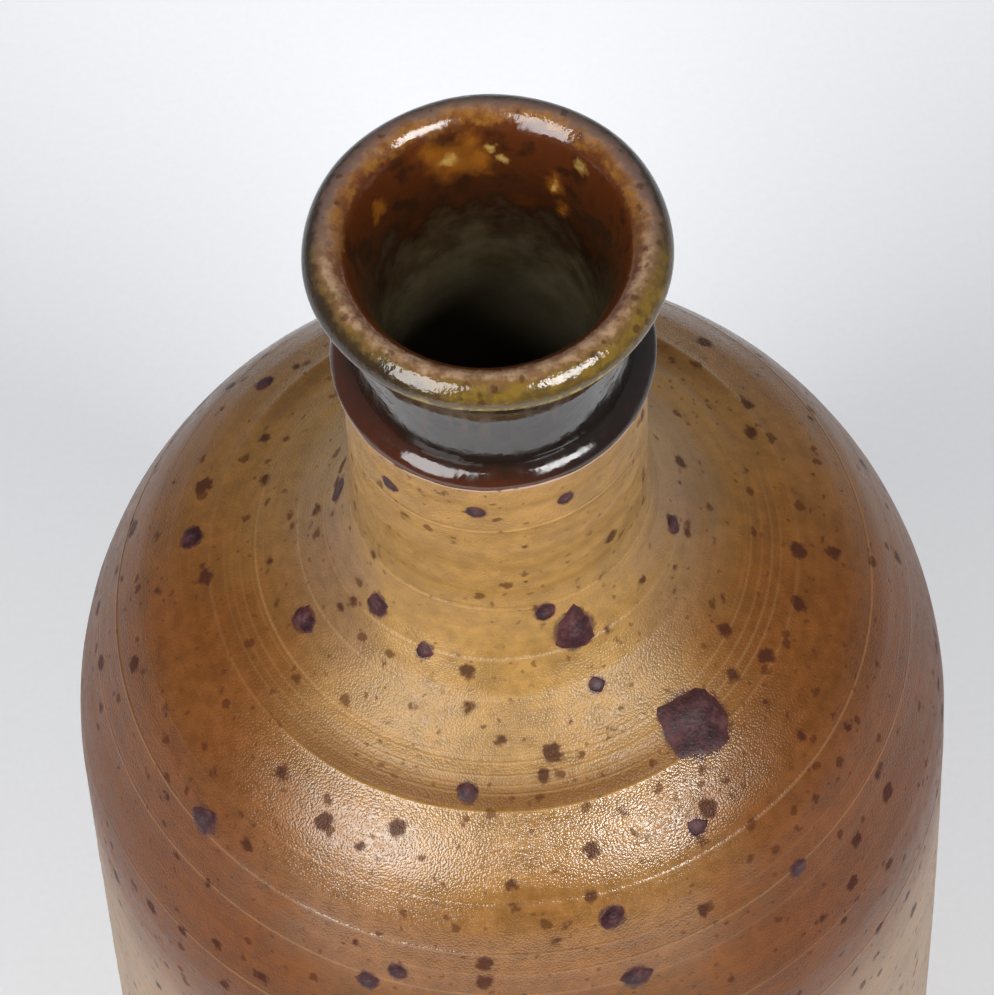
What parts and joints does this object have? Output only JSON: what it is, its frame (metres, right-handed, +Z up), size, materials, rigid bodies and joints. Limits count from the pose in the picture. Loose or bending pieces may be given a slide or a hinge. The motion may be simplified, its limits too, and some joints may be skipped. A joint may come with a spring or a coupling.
{
  "type": "bottle vase",
  "caption": "Thrown stoneware bottle vase with a round shoulder, a straight neck, a collar and a rolled lip, salt-brown outside and dark-glazed at the lip and inside, for cut stems.",
  "frame": {"origin": "centre of the foot face, on the surface that the vase stands on", "axes": "+Z up along the axis of the pot, -Y towards the side that the picture shows"},
  "size_m": [0.12, 0.12, 0.2356],
  "materials": {
    "salt_stoneware": "satin",
    "amber_glaze": "gloss",
    "iron_nodule": "satin"
  },
  "bodies": {
    "root": {"body": "salt_stoneware", "neck": "salt_stoneware", "collar_ring": "salt_stoneware", "lining_glaze": "amber_glaze", "neck_glaze": "amber_glaze", "iron_spots": "iron_nodule"}
  },
  "joints": []
}
